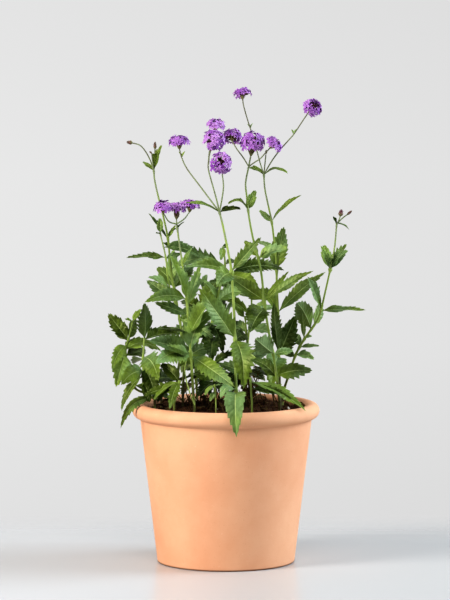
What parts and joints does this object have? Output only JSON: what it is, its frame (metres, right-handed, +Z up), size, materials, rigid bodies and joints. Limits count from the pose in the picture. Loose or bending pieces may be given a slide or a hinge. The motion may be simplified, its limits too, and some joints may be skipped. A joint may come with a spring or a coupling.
{
  "type": "potted plant",
  "caption": "Slender upright garden plant with toothed leaves and small purple flower heads on tall stalks, standing in a round terracotta pot with a rolled rim.",
  "frame": {"origin": "centre of the pot's underside, on the surface that it stands on", "axes": "+Z up, along the pot's axis and the plant's height; +X to the right seen from the front; +Y away from the front"},
  "size_m": [0.261, 0.2112, 0.4843],
  "materials": {
    "terracotta": "unglazed matt",
    "soil": "loose dark peat and bark",
    "foliage": "stiff rough leaf, slight sheen",
    "florets": "soft matt petals",
    "bracts": "dull, finely hairy"
  },
  "bodies": {
    "root": {"bracts_backward": "bracts", "bracts_dome": "bracts", "bracts_drooping_bud": "bracts", "bracts_facing": "bracts", "bracts_green_bud": "bracts", "bracts_highest": "bracts", "bracts_large": "bracts", "bracts_leaning": "bracts", "bracts_maroon_bud": "bracts", "bracts_outermost": "bracts", "bracts_side_bud": "bracts", "bracts_tiny_bud": "bracts", "bracts_trio_left": "bracts", "bracts_trio_middle": "bracts", "bracts_trio_right": "bracts", "bracts_twin_back": "bracts", "bracts_twin_front": "bracts", "bracts_upright_bud": "bracts", "florets_backward": "florets", "florets_dome": "florets", "florets_facing": "florets", "florets_highest": "florets", "florets_large": "florets", "florets_leaning": "florets", "florets_outermost": "florets", "florets_trio_left": "florets", "florets_trio_middle": "florets", "florets_trio_right": "florets", "florets_twin_back": "florets", "florets_twin_front": "florets", "pot": "terracotta", "shoot_back_left": "foliage", "shoot_back_right": "foliage", "shoot_centre": "foliage", "shoot_far_left": "foliage", "shoot_far_right": "foliage", "shoot_front_left": "foliage", "shoot_front_low": "foliage", "shoot_left_bud": "foliage", "shoot_left_flower": "foliage", "shoot_left_slim": "foliage", "shoot_low_left": "foliage", "shoot_middle": "foliage", "shoot_middle_right": "foliage", "shoot_right_front": "foliage", "shoot_right_tall": "foliage", "shoot_seedling": "foliage", "soil": "soil"}
  },
  "joints": []
}
